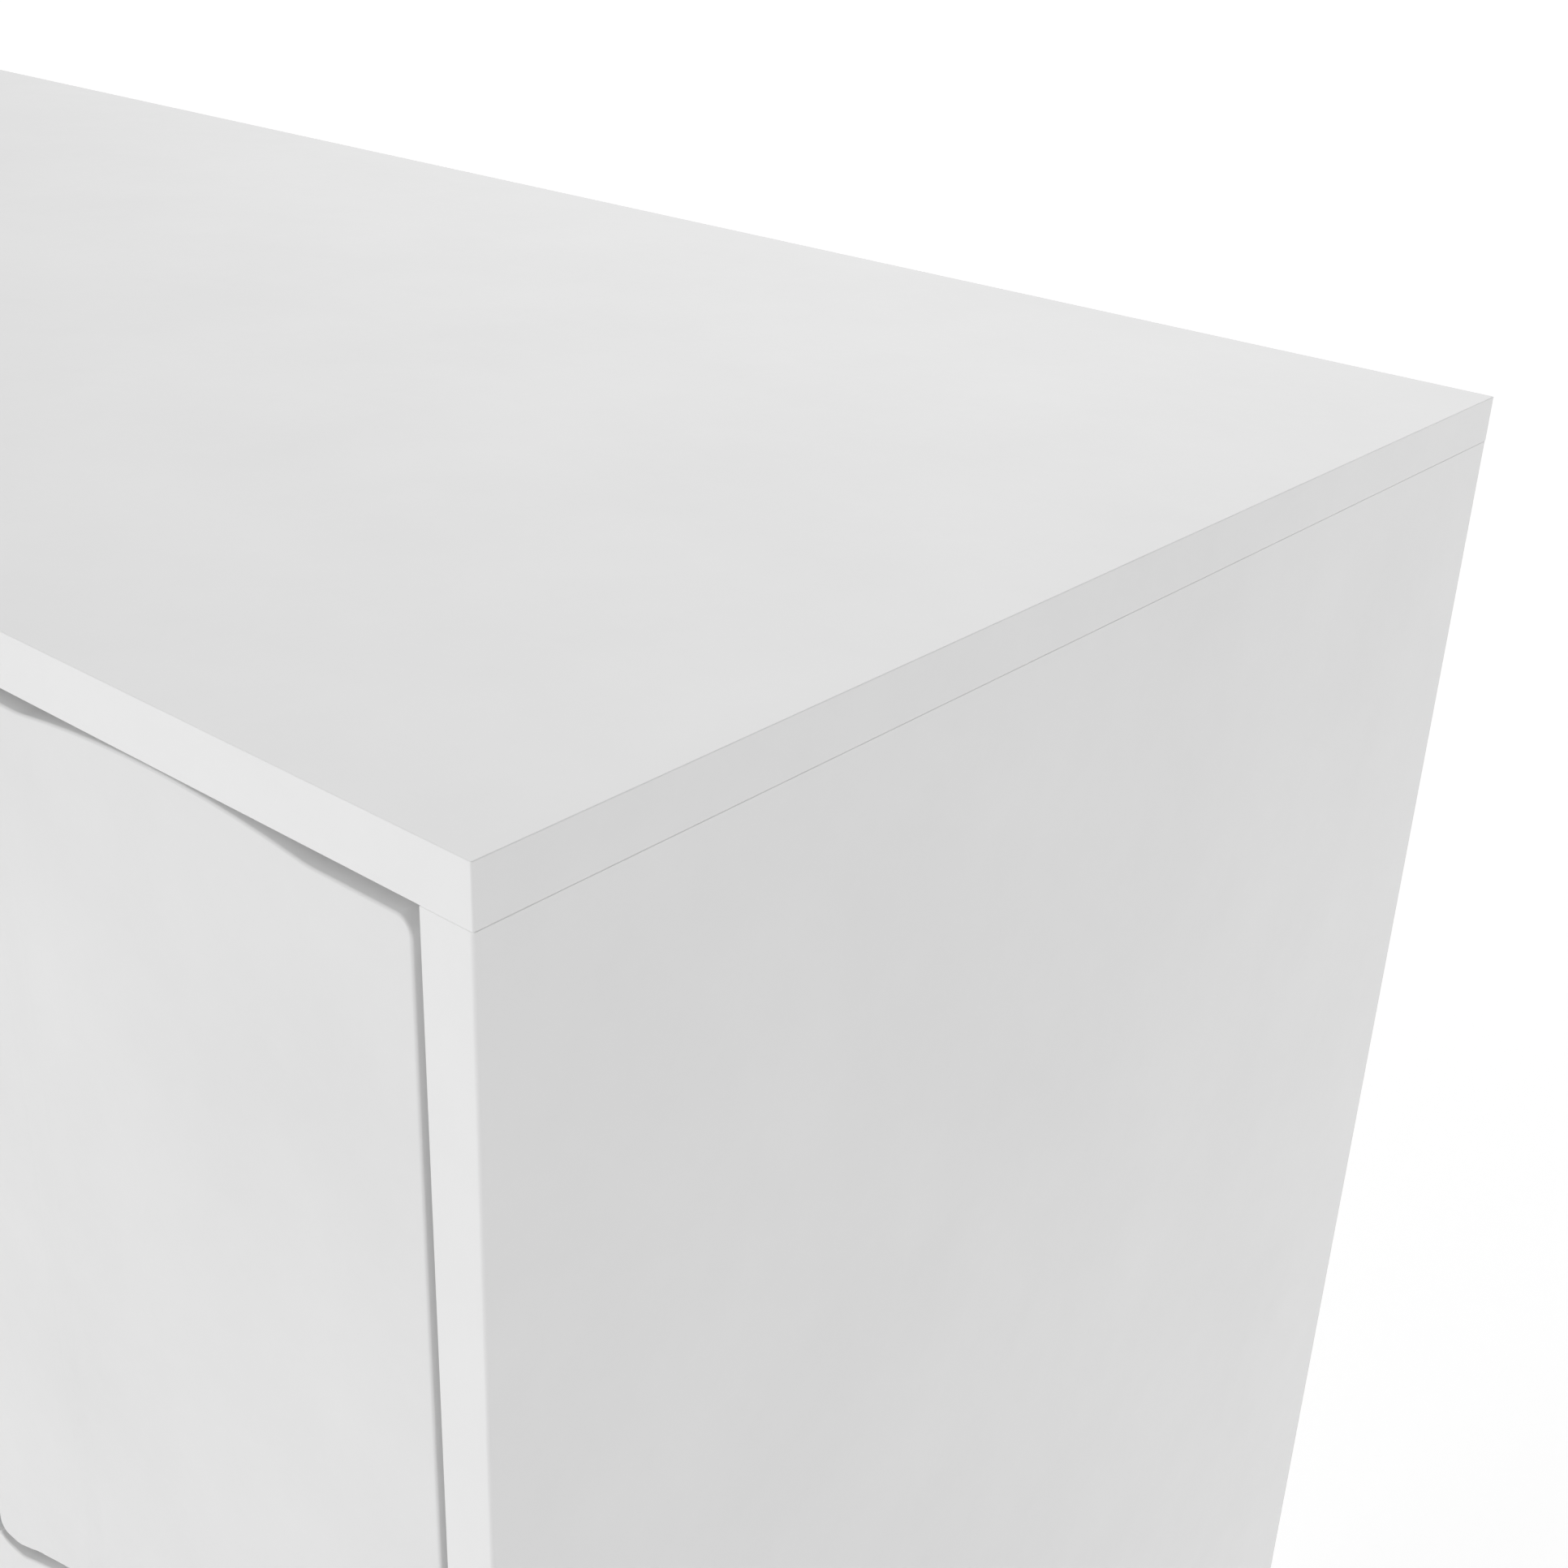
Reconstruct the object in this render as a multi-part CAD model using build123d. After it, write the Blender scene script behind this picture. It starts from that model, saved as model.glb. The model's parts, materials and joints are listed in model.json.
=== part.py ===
from build123d import *
from math import cos, radians, sin, sqrt
import os

os.makedirs("parts", exist_ok=True)

# A wide low cabinet: a centre bay with a shelf, and on each side a pair of doors over one drawer.
# Origin at the middle of the footprint on the floor, +Z up, the doors face -Y.
# Shapes are drawn for the right-hand side (+X) and mirrored to the left.

# Overall size and boards, in millimetres
WIDTH = 1400.0
DEPTH = 450.0
HEIGHT = 560.0
BOARD = 15.0
FRONT_BOARD = 16.0
FOOT_HEIGHT = 25.0
TOP_EDGE_RADIUS = 0.2
TOP_CORNER_RADIUS = 0.5
SIDE_CORNER_RADIUS = 1.0
SEAM_CHAMFER = 0.15

# Gaps around the doors and the drawer fronts
SIDE_GAP = 2.75
MEETING_GAP = 2.8
LEVEL_GAP = 4.3

# Door outline
DOOR_WIDTH = 208.25
DOOR_HEIGHT = 299.6
CORNER_RADIUS = 4.3
FRONT_EDGE_RADIUS = 0.7
REAR_EDGE_RADIUS = 1.5
CROWN_CHORD = 103.0
CROWN_HEIGHT = 3.7
CROWN_FROM_HINGE_EDGE = 83.25
CROWN_KNEE_RADIUS = 30.0
ARCH_CHORD = 188.2
ARCH_RADIUS = 240.0
ARCH_KNEE_RADIUS = 10.0
CUSP_RADIUS = 1.2
CREASE_FROM_FREE_EDGE = 61.5
CREASE_WIDTH = 9.0
CREASE_DEPTH = 0.25

# Back panel, set in a groove
BACK_PANEL = 3.0
BACK_PANEL_INSET = 8.0
GROOVE_DEPTH = 6.5
GROOVE_PLAY = 0.1
PANEL_END_PLAY = 0.5
CUT_OVERRUN = 1.0
CABLE_OUTLET_RADIUS = 24.0
CABLE_OUTLET_LEVELS = (165.0, 425.0)
GROMMET_WALL = 5.0
GROMMET_FLANGE = 9.0
GROMMET_FLANGE_SHEET = 2.0
GROMMET_LENGTH = 9.0

# Shelves
INNER_SETBACK = 28.0
FLOOR_ABOVE_DOOR_EDGE = 1.9
CENTER_SHELF_TOP = 300.0
CENTER_SHELF_SETBACK = 10.0
LOOSE_SHELF_TOP = 405.0
LOOSE_SHELF_PLAY = 1.0
LOOSE_SHELF_SETBACK = 5.0
SHELF_PIN_RADIUS = 2.5
SHELF_PIN_REACH = 7.0
SHELF_PIN_DEPTH = 8.0
SHELF_PIN_ROWS = (-150.0, 150.0)
SHELF_PIN_PITCH = 32.0

# Cup hinges
HINGE_INSET = 65.0
CUP_FROM_EDGE = 22.5
CUP_RADIUS = 17.5
CUP_DEPTH = 11.4
CUP_WALL = 1.1
CUP_FLANGE = 1.2
CUP_RIM = 2.0
CUP_WING_HALF_WIDTH = 8.0
CUP_WING_HALF_LENGTH = 30.0
CUP_WING_CORNER = 6.0
CUP_SCREW_OFFSET = 24.0
CUP_SCREW_RADIUS = 1.6
CUP_SCREW_LENGTH = 10.0
PIVOT_FROM_EDGE = 14.0
PIVOT_BEHIND_FACE = 9.0
HINGE_PIN_RADIUS = 1.25
HINGE_PIN_PLAY = 0.05
HINGE_PIN_GRIP = 0.02
HINGE_PIN_HALF_LENGTH = 14.4
KNUCKLE_RADIUS = 2.9
ARM_SHEET = 2.0
ARM_HALF_WIDTH = 7.0
ARM_SIDE_PLAY = 1.5
ARM_REACH = 19.0
ARM_ANGLE = 105.0
PLATE_CENTER_FROM_FRONT = 60.0
PLATE_HALF_LENGTH = 26.0
PLATE_HALF_WIDTH = 8.0
PLATE_WING_HALF_LENGTH = 23.0
PLATE_WING_CORNER = 5.0
PLATE_SCREW_OFFSET = 16.0
PLATE_SCREW_RADIUS = 2.0
PLATE_SCREW_LENGTH = 11.5
SCREW_HEAD_HEIGHT = 1.4
SCREW_RECESS_DEPTH = 0.8
SCREW_RECESS_SHARE = 0.75

# Push latches
LATCH_FROM_FREE_EDGE = 22.0
LATCH_WIDTH = 16.0
LATCH_HEIGHT = 20.0
LATCH_LENGTH = 68.0
LATCH_CORNER = 2.0
LATCH_BACK_WALL = 5.0
LATCH_BELOW_TOP = 12.0
PLUNGER_RADIUS = 4.0
PLUNGER_PLAY = 0.3
PLUNGER_TIP_REACH = 1.5
PLUNGER_TIP_LENGTH = 3.0
PLUNGER_GAP = 0.3
LATCH_STROKE = 3.0

# Drawer and its ball runners
DRAWER_BOARD = 12.0
DRAWER_BOTTOM_BOARD = 4.0
DRAWER_SIDE_HEIGHT = 145.0
DRAWER_CLEAR_OF_BASE = 18.0
DRAWER_BOX_LENGTH = 364.0
RUNNER_SPACE = 13.0
RUNNER_LEVEL = 110.0
RUNNER_SHEET = 1.2
RUNNER_HALF_HEIGHT = 22.5
RUNNER_LENGTH = 350.0
OUTER_RAIL_REACH = 9.0
INNER_RAIL_REACH = 9.5
RUNNER_FROM_FRONT_BOARD = 4.0
INNER_RAIL_LEAD = 2.0
BALL_SPACE = 3.5
BALL_RADIUS = 1.45
CAGE_LENGTH = 80.0
CAGE_BALLS = 8
CAGE_FROM_DRAWER = 7.0
CAGE_HALF_WIDTH = 2.0
CAGE_SHEET = 1.0
DRAWER_GROOVE_DEPTH = 5.0
DRAWER_GROOVE_LEVEL = 8.0

# Fastenings and feet
CAM_RADIUS = 7.4
CAM_HEIGHT = 11.6
CAM_BELOW_FACE = 0.2
CAM_DISTANCE = 34.0
CAM_DRIVE_RADIUS = 2.5
CAM_DRIVE_DEPTH = 2.3
BOLT_TUNNEL_RADIUS = 3.9
BOLT_HEAD_RADIUS = 3.6
BOLT_HEAD_LENGTH = 4.0
BOLT_HEAD_FROM_CAM = 6.0
BOLT_RADIUS = 3.0
BOLT_ANCHOR = 11.0
DOWEL_RADIUS = 4.0
DOWEL_LENGTH = 30.0
DOWEL_OFFSET = 32.0
DOWEL_END_PLAY = 0.4
FASTENER_PLAY = 0.1
JOINT_ROWS = (-165.0, 165.0)
SHELF_JOINT_ROWS = (-140.0, 165.0)
HOLE_END_PLAY = 1.5
FOOT_RADIUS = 22.0
FOOT_PAD = 8.0
FOOT_PAD_EDGE = 1.5
FOOT_HEXAGON_RADIUS = 7.5
FOOT_HEXAGON = 5.0
FOOT_STEM_RADIUS = 4.0
FOOT_STEM_TOP = 35.0
FOOT_HOLE_PLAY = 0.5
FOOT_PLATE = 2.5
FOOT_PLATE_RIM = 3.0
FOOT_COLUMNS = (252.7, 610.0)
FOOT_ROWS = (-175.0, 175.0)

# Places worked out from the dimensions
FRONT = -DEPTH / 2
REAR = DEPTH / 2
SIDE_FACE = WIDTH / 2 - BOARD
UNDER_TOP = HEIGHT - BOARD
BASE_TOP = FOOT_HEIGHT + BOARD
BACK_FACE = REAR - BACK_PANEL_INSET - BACK_PANEL
FRONT_BOARD_REAR = FRONT + FRONT_BOARD
INNER_FRONT = FRONT + INNER_SETBACK
HINGE_EDGE = SIDE_FACE - SIDE_GAP
FREE_EDGE = HINGE_EDGE - DOOR_WIDTH
PAIR_CENTER = FREE_EDGE - MEETING_GAP / 2
DIVIDER_FACE = 2 * PAIR_CENTER - SIDE_FACE
DIVIDER_CENTER = DIVIDER_FACE - BOARD / 2
DIVIDER_INNER_FACE = DIVIDER_FACE - BOARD
DOOR_TOP = UNDER_TOP - LEVEL_GAP
DOOR_BOTTOM = DOOR_TOP - DOOR_HEIGHT
DOOR_CENTER = (HINGE_EDGE + FREE_EDGE) / 2
CABINET_FLOOR_TOP = DOOR_BOTTOM + FLOOR_ABOVE_DOOR_EDGE
DRAWER_TOP = DOOR_BOTTOM - LEVEL_GAP
DRAWER_BOTTOM = BASE_TOP + LEVEL_GAP
ARCH_CENTER_LEVEL = DOOR_BOTTOM - sqrt(ARCH_RADIUS**2 - (ARCH_CHORD / 2) ** 2)
HINGE_LEVELS = (DOOR_BOTTOM + HINGE_INSET, DOOR_TOP - HINGE_INSET)
CUP_X = HINGE_EDGE - CUP_FROM_EDGE
CUP_FLOOR = FRONT_BOARD_REAR - CUP_DEPTH
PIVOT_X = HINGE_EDGE - PIVOT_FROM_EDGE
PIVOT_Y = FRONT + PIVOT_BEHIND_FACE
LATCH_X = FREE_EDGE + LATCH_FROM_FREE_EDGE
LATCH_LEVEL = UNDER_TOP - LATCH_BELOW_TOP
CUP_FLANGE_TOP = FRONT_BOARD_REAR + CUP_FLANGE
PLATE_Y = FRONT + PLATE_CENTER_FROM_FRONT
PLATE_FACE = SIDE_FACE - ARM_SHEET
BOX_X = (DIVIDER_FACE + RUNNER_SPACE, SIDE_FACE - RUNNER_SPACE)
BOX_Y = (FRONT_BOARD_REAR, FRONT_BOARD_REAR + DRAWER_BOX_LENGTH)
BOX_Z = (BASE_TOP + DRAWER_CLEAR_OF_BASE, BASE_TOP + DRAWER_CLEAR_OF_BASE + DRAWER_SIDE_HEIGHT)
RUNNER_FRONT = FRONT_BOARD_REAR + RUNNER_FROM_FRONT_BOARD
RUNNER_Y = (RUNNER_FRONT, RUNNER_FRONT + RUNNER_LENGTH)
INNER_RAIL_HALF_HEIGHT = RUNNER_HALF_HEIGHT - RUNNER_SHEET - BALL_SPACE

X_AXIS = Vector(1, 0, 0)
Y_AXIS = Vector(0, 1, 0)
Z_AXIS = Vector(0, 0, 1)
PAIR_PLANE = Plane(origin=(PAIR_CENTER, 0, 0), z_dir=(1, 0, 0))


def block(x, y, z):
    """Box between the low and high limits along each axis."""
    sizes = [high - low for low, high in (x, y, z)]
    middle = [(low + high) / 2 for low, high in (x, y, z)]
    return Pos(*middle) * Box(*sizes)


def rod(start, direction, radius, length):
    """Cylinder from a point, along a direction."""
    return Solid.make_cylinder(radius, length, Plane(origin=start, z_dir=direction))


def strip(points, thickness, low, high):
    """Bent sheet that follows a line seen from above, between two heights."""
    pieces = []
    for start, end in zip(points[:-1], points[1:]):
        run = end - start
        angle = X_AXIS.get_signed_angle(run, Z_AXIS)
        leaf = Box(run.length, thickness, high - low)
        middle = (start + end) / 2
        pieces.append(Pos(middle.X, middle.Y, (low + high) / 2) * Rot(0, 0, angle) * leaf)
        pieces.append(rod((end.X, end.Y, low), Z_AXIS, thickness / 2, high - low))
    return pieces[0] + pieces[1:]


def to_left(shape):
    return mirror(shape, about=Plane.YZ)


def to_inner_door(shape):
    return mirror(shape, about=PAIR_PLANE)


def all_solids(shapes):
    return [solid for shape in shapes for solid in shape.solids()]


def save(name, *shapes):
    """Write one named piece, or one group of like pieces, as a STEP file."""
    solids = all_solids(shapes)
    content = solids[0] if len(solids) == 1 else Compound(solids)
    export_step(content, f"parts/{name}.step")


# Cam fastenings -------------------------------------------------------------------------------

cams = []
cam_bolts = []
dowels = []


def cam_joint(point, into, cam_side, board_cuts, anchor_cuts):
    """Cam, bolt and dowel that pull one board's edge against another board's face.

    point is on the joint at the middle of the edge board's thickness, into points into that
    board, and cam_side points from its middle plane to the surface that holds the cam.
    """
    center = point + into * CAM_DISTANCE
    cam_face = center + cam_side * (BOARD / 2 - CAM_BELOW_FACE)
    tunnel_start = point - into * CUT_OVERRUN
    tunnel = rod(tunnel_start, into, BOLT_TUNNEL_RADIUS, CAM_DISTANCE + BOLT_HEAD_LENGTH)
    drive = rod(cam_face, -cam_side, CAM_DRIVE_RADIUS, CAM_DRIVE_DEPTH)
    cams.append(rod(cam_face, -cam_side, CAM_RADIUS, CAM_HEIGHT) - [tunnel, drive])
    pocket_mouth = center + cam_side * (BOARD / 2 + CUT_OVERRUN)
    pocket_depth = CAM_HEIGHT + CAM_BELOW_FACE + CUT_OVERRUN + FASTENER_PLAY
    pocket = rod(pocket_mouth, -cam_side, CAM_RADIUS + FASTENER_PLAY, pocket_depth)
    board_cuts += [tunnel, pocket]

    head_distance = CAM_DISTANCE - BOLT_HEAD_FROM_CAM
    bolt = rod(point - into * BOLT_ANCHOR, into, BOLT_RADIUS, BOLT_ANCHOR + head_distance)
    head = rod(point + into * head_distance, into, BOLT_HEAD_RADIUS, BOLT_HEAD_LENGTH)
    cam_bolts.append(bolt + head)
    anchor_depth = CUT_OVERRUN + BOLT_ANCHOR + FASTENER_PLAY
    anchor = rod(point + into * CUT_OVERRUN, -into, BOLT_RADIUS + FASTENER_PLAY, anchor_depth)

    towards_middle = -DOWEL_OFFSET if point.Y > 0 else DOWEL_OFFSET
    dowel_start = point + Y_AXIS * towards_middle - into * (DOWEL_LENGTH / 3)
    dowels.append(rod(dowel_start, into, DOWEL_RADIUS, DOWEL_LENGTH))
    hole_start = dowel_start - into * DOWEL_END_PLAY
    hole_length = DOWEL_LENGTH + 2 * DOWEL_END_PLAY
    dowel_hole = rod(hole_start, into, DOWEL_RADIUS + FASTENER_PLAY, hole_length)
    board_cuts.append(dowel_hole)
    anchor_cuts += [anchor, dowel_hole]


side_cuts = []
divider_cuts = []
top_cuts = []
base_cuts = []
floor_cuts = []
center_shelf_cuts = []

for row in JOINT_ROWS:
    side_head = Vector(SIDE_FACE + BOARD / 2, row, UNDER_TOP)
    divider_head = Vector(DIVIDER_CENTER, row, UNDER_TOP)
    divider_foot = Vector(DIVIDER_CENTER, row, BASE_TOP)
    base_end = Vector(SIDE_FACE, row, BASE_TOP - BOARD / 2)
    cam_joint(side_head, -Z_AXIS, -X_AXIS, side_cuts, top_cuts)
    cam_joint(divider_head, -Z_AXIS, X_AXIS, divider_cuts, top_cuts)
    cam_joint(divider_foot, Z_AXIS, X_AXIS, divider_cuts, base_cuts)
    cam_joint(base_end, -X_AXIS, -Z_AXIS, base_cuts, side_cuts)
for row in SHELF_JOINT_ROWS:
    floor_level = CABINET_FLOOR_TOP - BOARD / 2
    shelf_level = CENTER_SHELF_TOP - BOARD / 2
    cam_joint(Vector(SIDE_FACE, row, floor_level), -X_AXIS, -Z_AXIS, floor_cuts, side_cuts)
    cam_joint(Vector(DIVIDER_FACE, row, floor_level), X_AXIS, -Z_AXIS, floor_cuts, divider_cuts)
    shelf_end = Vector(DIVIDER_INNER_FACE, row, shelf_level)
    cam_joint(shelf_end, -X_AXIS, -Z_AXIS, center_shelf_cuts, divider_cuts)


# Shelf pins and their rows of holes -----------------------------------------------------------

shelf_pins = []
loose_shelf_pin_level = LOOSE_SHELF_TOP - BOARD - SHELF_PIN_RADIUS
for row in SHELF_PIN_ROWS:
    for face, outward, cuts in ((SIDE_FACE, 1, side_cuts), (DIVIDER_FACE, -1, divider_cuts)):
        for step in (-1, 0, 1):
            level = loose_shelf_pin_level + step * SHELF_PIN_PITCH
            mouth = (face - outward * CUT_OVERRUN, row, level)
            hole_radius = SHELF_PIN_RADIUS + FASTENER_PLAY
            hole_depth = CUT_OVERRUN + SHELF_PIN_DEPTH + FASTENER_PLAY
            cuts.append(rod(mouth, X_AXIS * outward, hole_radius, hole_depth))
        start = (face - outward * SHELF_PIN_REACH, row, loose_shelf_pin_level)
        pin_length = SHELF_PIN_REACH + SHELF_PIN_DEPTH
        shelf_pins.append(rod(start, X_AXIS * outward, SHELF_PIN_RADIUS, pin_length))


# Doors, hinges and push latches ---------------------------------------------------------------

def rounded(face, points, radius):
    """Round the outline's corners that lie nearest to the given points."""
    corners = [min(face.vertices(), key=lambda v: (v.center() - Vector(*p)).length) for p in points]
    return face.fillet_2d(radius, corners)


def front_slab(outline):
    """Board standing in the front plane, with its front and rear edges rounded."""
    slab = extrude(Plane.XZ.offset(-FRONT) * outline, amount=-FRONT_BOARD)
    slab = fillet(slab.faces().sort_by(Axis.Y)[0].edges(), FRONT_EDGE_RADIUS)
    return fillet(slab.faces().sort_by(Axis.Y)[-1].edges(), REAR_EDGE_RADIUS)


def door_outline():
    """Rectangle with a low crown on its top edge and an arch cut into its bottom edge."""
    crown_x = HINGE_EDGE - CROWN_FROM_HINGE_EDGE
    corners = [(x, z) for x in (FREE_EDGE, HINGE_EDGE) for z in (DOOR_BOTTOM, DOOR_TOP)]
    crown_ends = [(crown_x - CROWN_CHORD / 2, DOOR_TOP), (crown_x + CROWN_CHORD / 2, DOOR_TOP)]
    arch_ends = [(DOOR_CENTER + side * ARCH_CHORD / 2, DOOR_BOTTOM) for side in (-1, 1)]
    free_foot, free_head, hinge_foot, hinge_head = corners
    face = make_face([
        Line(free_foot, arch_ends[0]),
        ThreePointArc(arch_ends[0], (DOOR_CENTER, ARCH_CENTER_LEVEL + ARCH_RADIUS), arch_ends[1]),
        Line(arch_ends[1], hinge_foot),
        Line(hinge_foot, hinge_head),
        Line(hinge_head, crown_ends[1]),
        ThreePointArc(crown_ends[1], (crown_x, DOOR_TOP + CROWN_HEIGHT), crown_ends[0]),
        Line(crown_ends[0], free_head),
        Line(free_head, free_foot),
    ]).face()
    face = rounded(face, corners, CORNER_RADIUS)
    face = rounded(face, crown_ends, CROWN_KNEE_RADIUS)
    return rounded(face, arch_ends, ARCH_KNEE_RADIUS)


def crease():
    """Shallow wedge down the door's face: one crisp edge, fading out towards the free edge."""
    crisp = FREE_EDGE + CREASE_FROM_FREE_EDGE
    faded = crisp - CREASE_WIDTH
    before = FRONT - CUT_OVERRUN
    section = [(faded, before), (crisp, before), (crisp, FRONT + CREASE_DEPTH), (faded, FRONT)]
    wedge = Plane.XY.offset(DOOR_BOTTOM - CUT_OVERRUN) * make_face(Polyline(*section, close=True))
    return extrude(wedge, amount=DOOR_HEIGHT + 2 * CUT_OVERRUN)


def arm_slot(level):
    """Heights between which the arm may lie in the cup and the door."""
    half = ARM_HALF_WIDTH + ARM_SIDE_PLAY
    return level - half, level + half


def door_cuts():
    """Cup pockets, the arms' passages to the edge and the screw holes in a door's rear face."""
    cuts = []
    floor = CUP_FLOOR - 2 * FASTENER_PLAY
    for level in HINGE_LEVELS:
        mouth = FRONT_BOARD_REAR + CUT_OVERRUN
        pocket_radius = CUP_RADIUS + FASTENER_PLAY
        cuts.append(rod((CUP_X, mouth, level), -Y_AXIS, pocket_radius, mouth - floor))
        cuts.append(block((CUP_X, HINGE_EDGE + CUT_OVERRUN), (floor, mouth), arm_slot(level)))
        for side in (-1, 1):
            hole = (CUP_X, mouth, level + side * CUP_SCREW_OFFSET)
            hole_depth = CUT_OVERRUN + CUP_SCREW_LENGTH
            cuts.append(rod(hole, -Y_AXIS, CUP_SCREW_RADIUS + FASTENER_PLAY, hole_depth))
    return cuts


def hinge_cup(level):
    """Steel cup with its flange, open at the back and at the hinge edge for the arm."""
    body = rod((CUP_X, CUP_FLOOR, level), Y_AXIS, CUP_RADIUS, CUP_DEPTH)
    rim = rod((CUP_X, FRONT_BOARD_REAR, level), Y_AXIS, CUP_RADIUS + CUP_RIM, CUP_FLANGE)
    wing_x = (CUP_X - CUP_WING_HALF_WIDTH, CUP_X + CUP_WING_HALF_WIDTH)
    wing_z = (level - CUP_WING_HALF_LENGTH, level + CUP_WING_HALF_LENGTH)
    wing = block(wing_x, (FRONT_BOARD_REAR, CUP_FLANGE_TOP), wing_z)
    wing = fillet(wing.edges().filter_by(Axis.Y), CUP_WING_CORNER)
    inside = CUP_FLOOR + CUP_WALL
    mouth = CUP_FLANGE_TOP + CUT_OVERRUN
    hollow = rod((CUP_X, inside, level), Y_AXIS, CUP_RADIUS - CUP_WALL, mouth - inside)
    bore_start = level - HINGE_PIN_HALF_LENGTH - FASTENER_PLAY
    bore_length = 2 * (HINGE_PIN_HALF_LENGTH + FASTENER_PLAY)
    bore = rod((PIVOT_X, PIVOT_Y, bore_start), Z_AXIS, HINGE_PIN_RADIUS + HINGE_PIN_GRIP, bore_length)
    passage = block((CUP_X, HINGE_EDGE), (inside, mouth), arm_slot(level))
    holes = []
    for side in (-1, 1):
        place = (CUP_X, mouth, level + side * CUP_SCREW_OFFSET)
        depth = mouth - FRONT_BOARD_REAR + CUT_OVERRUN
        holes.append(rod(place, -Y_AXIS, CUP_SCREW_RADIUS + FASTENER_PLAY, depth))
    return body + [rim, wing] - [hollow, bore, passage] - holes


def hinge_pin(level):
    start = (PIVOT_X, PIVOT_Y, level - HINGE_PIN_HALF_LENGTH)
    return rod(start, Z_AXIS, HINGE_PIN_RADIUS, 2 * HINGE_PIN_HALF_LENGTH)


def screw(seat, inward, radius, length):
    """Screw with a low round head on the seat, and a round recess for the driver."""
    shank = rod(seat, inward, radius, length)
    head = rod(seat, -inward, 2 * radius, SCREW_HEAD_HEIGHT)
    recess_start = seat - inward * SCREW_HEAD_HEIGHT
    recess = rod(recess_start, inward, SCREW_RECESS_SHARE * radius, SCREW_RECESS_DEPTH)
    return shank + head - recess


def cup_screw(level):
    """Wood screw that holds the cup's flange to the door."""
    return screw(Vector(CUP_X, CUP_FLANGE_TOP, level), -Y_AXIS, CUP_SCREW_RADIUS, CUP_SCREW_LENGTH)


def hinge_arm(level):
    """Bent arm from the pin in the cup back to the mounting plate."""
    pivot = Vector(PIVOT_X, PIVOT_Y, 0)
    bend = pivot + Vector(cos(radians(ARM_ANGLE)), sin(radians(ARM_ANGLE)), 0) * ARM_REACH
    seat_x = SIDE_FACE - 1.5 * ARM_SHEET
    seat_end = Vector(seat_x, PLATE_Y + PLATE_HALF_LENGTH - 1.5 * ARM_SHEET, 0)
    path = [pivot, bend, Vector(seat_x, bend.Y, 0), seat_end]
    low = level - ARM_HALF_WIDTH
    sheet = strip(path, ARM_SHEET, low, level + ARM_HALF_WIDTH)
    knuckle = rod((PIVOT_X, PIVOT_Y, low), Z_AXIS, KNUCKLE_RADIUS, 2 * ARM_HALF_WIDTH)
    bore_radius = HINGE_PIN_RADIUS + HINGE_PIN_PLAY
    bore_start = (PIVOT_X, PIVOT_Y, low - CUT_OVERRUN)
    bore = rod(bore_start, Z_AXIS, bore_radius, 2 * (ARM_HALF_WIDTH + CUT_OVERRUN))
    return sheet + knuckle - bore


def hinge_plate(level):
    """Cross-shaped mounting plate on the side panel or divider."""
    thickness = (PLATE_FACE, SIDE_FACE)
    rail_y = (PLATE_Y - PLATE_HALF_LENGTH, PLATE_Y + PLATE_HALF_LENGTH)
    rail = block(thickness, rail_y, (level - PLATE_HALF_WIDTH, level + PLATE_HALF_WIDTH))
    wing_y = (PLATE_Y - PLATE_HALF_WIDTH, PLATE_Y + PLATE_HALF_WIDTH)
    wing_z = (level - PLATE_WING_HALF_LENGTH, level + PLATE_WING_HALF_LENGTH)
    wings = block(thickness, wing_y, wing_z)
    wings = fillet(wings.edges().filter_by(Axis.X), PLATE_WING_CORNER)
    holes = []
    for side in (-1, 1):
        place = (SIDE_FACE + CUT_OVERRUN, PLATE_Y, level + side * PLATE_SCREW_OFFSET)
        depth = ARM_SHEET + 2 * CUT_OVERRUN
        holes.append(rod(place, -X_AXIS, PLATE_SCREW_RADIUS + FASTENER_PLAY, depth))
    return rail + wings - holes


def plate_screw(level):
    return screw(Vector(PLATE_FACE, PLATE_Y, level), X_AXIS, PLATE_SCREW_RADIUS, PLATE_SCREW_LENGTH)


def plate_screw_hole(level):
    start = (SIDE_FACE - CUT_OVERRUN, PLATE_Y, level)
    depth = PLATE_SCREW_LENGTH - ARM_SHEET + CUT_OVERRUN + HOLE_END_PLAY
    return rod(start, X_AXIS, PLATE_SCREW_RADIUS + FASTENER_PLAY, depth)


def latch_housing():
    """Push-latch body under the top, bored from the front for its plunger."""
    x = (LATCH_X - LATCH_WIDTH / 2, LATCH_X + LATCH_WIDTH / 2)
    y = (INNER_FRONT, INNER_FRONT + LATCH_LENGTH)
    body = block(x, y, (UNDER_TOP - LATCH_HEIGHT, UNDER_TOP))
    body = fillet(body.edges().filter_by(Axis.Z), LATCH_CORNER)
    bore_start = (LATCH_X, INNER_FRONT - CUT_OVERRUN, LATCH_LEVEL)
    bore_length = CUT_OVERRUN + LATCH_LENGTH - LATCH_BACK_WALL
    return body - rod(bore_start, Y_AXIS, PLUNGER_RADIUS + PLUNGER_PLAY, bore_length)


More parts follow.
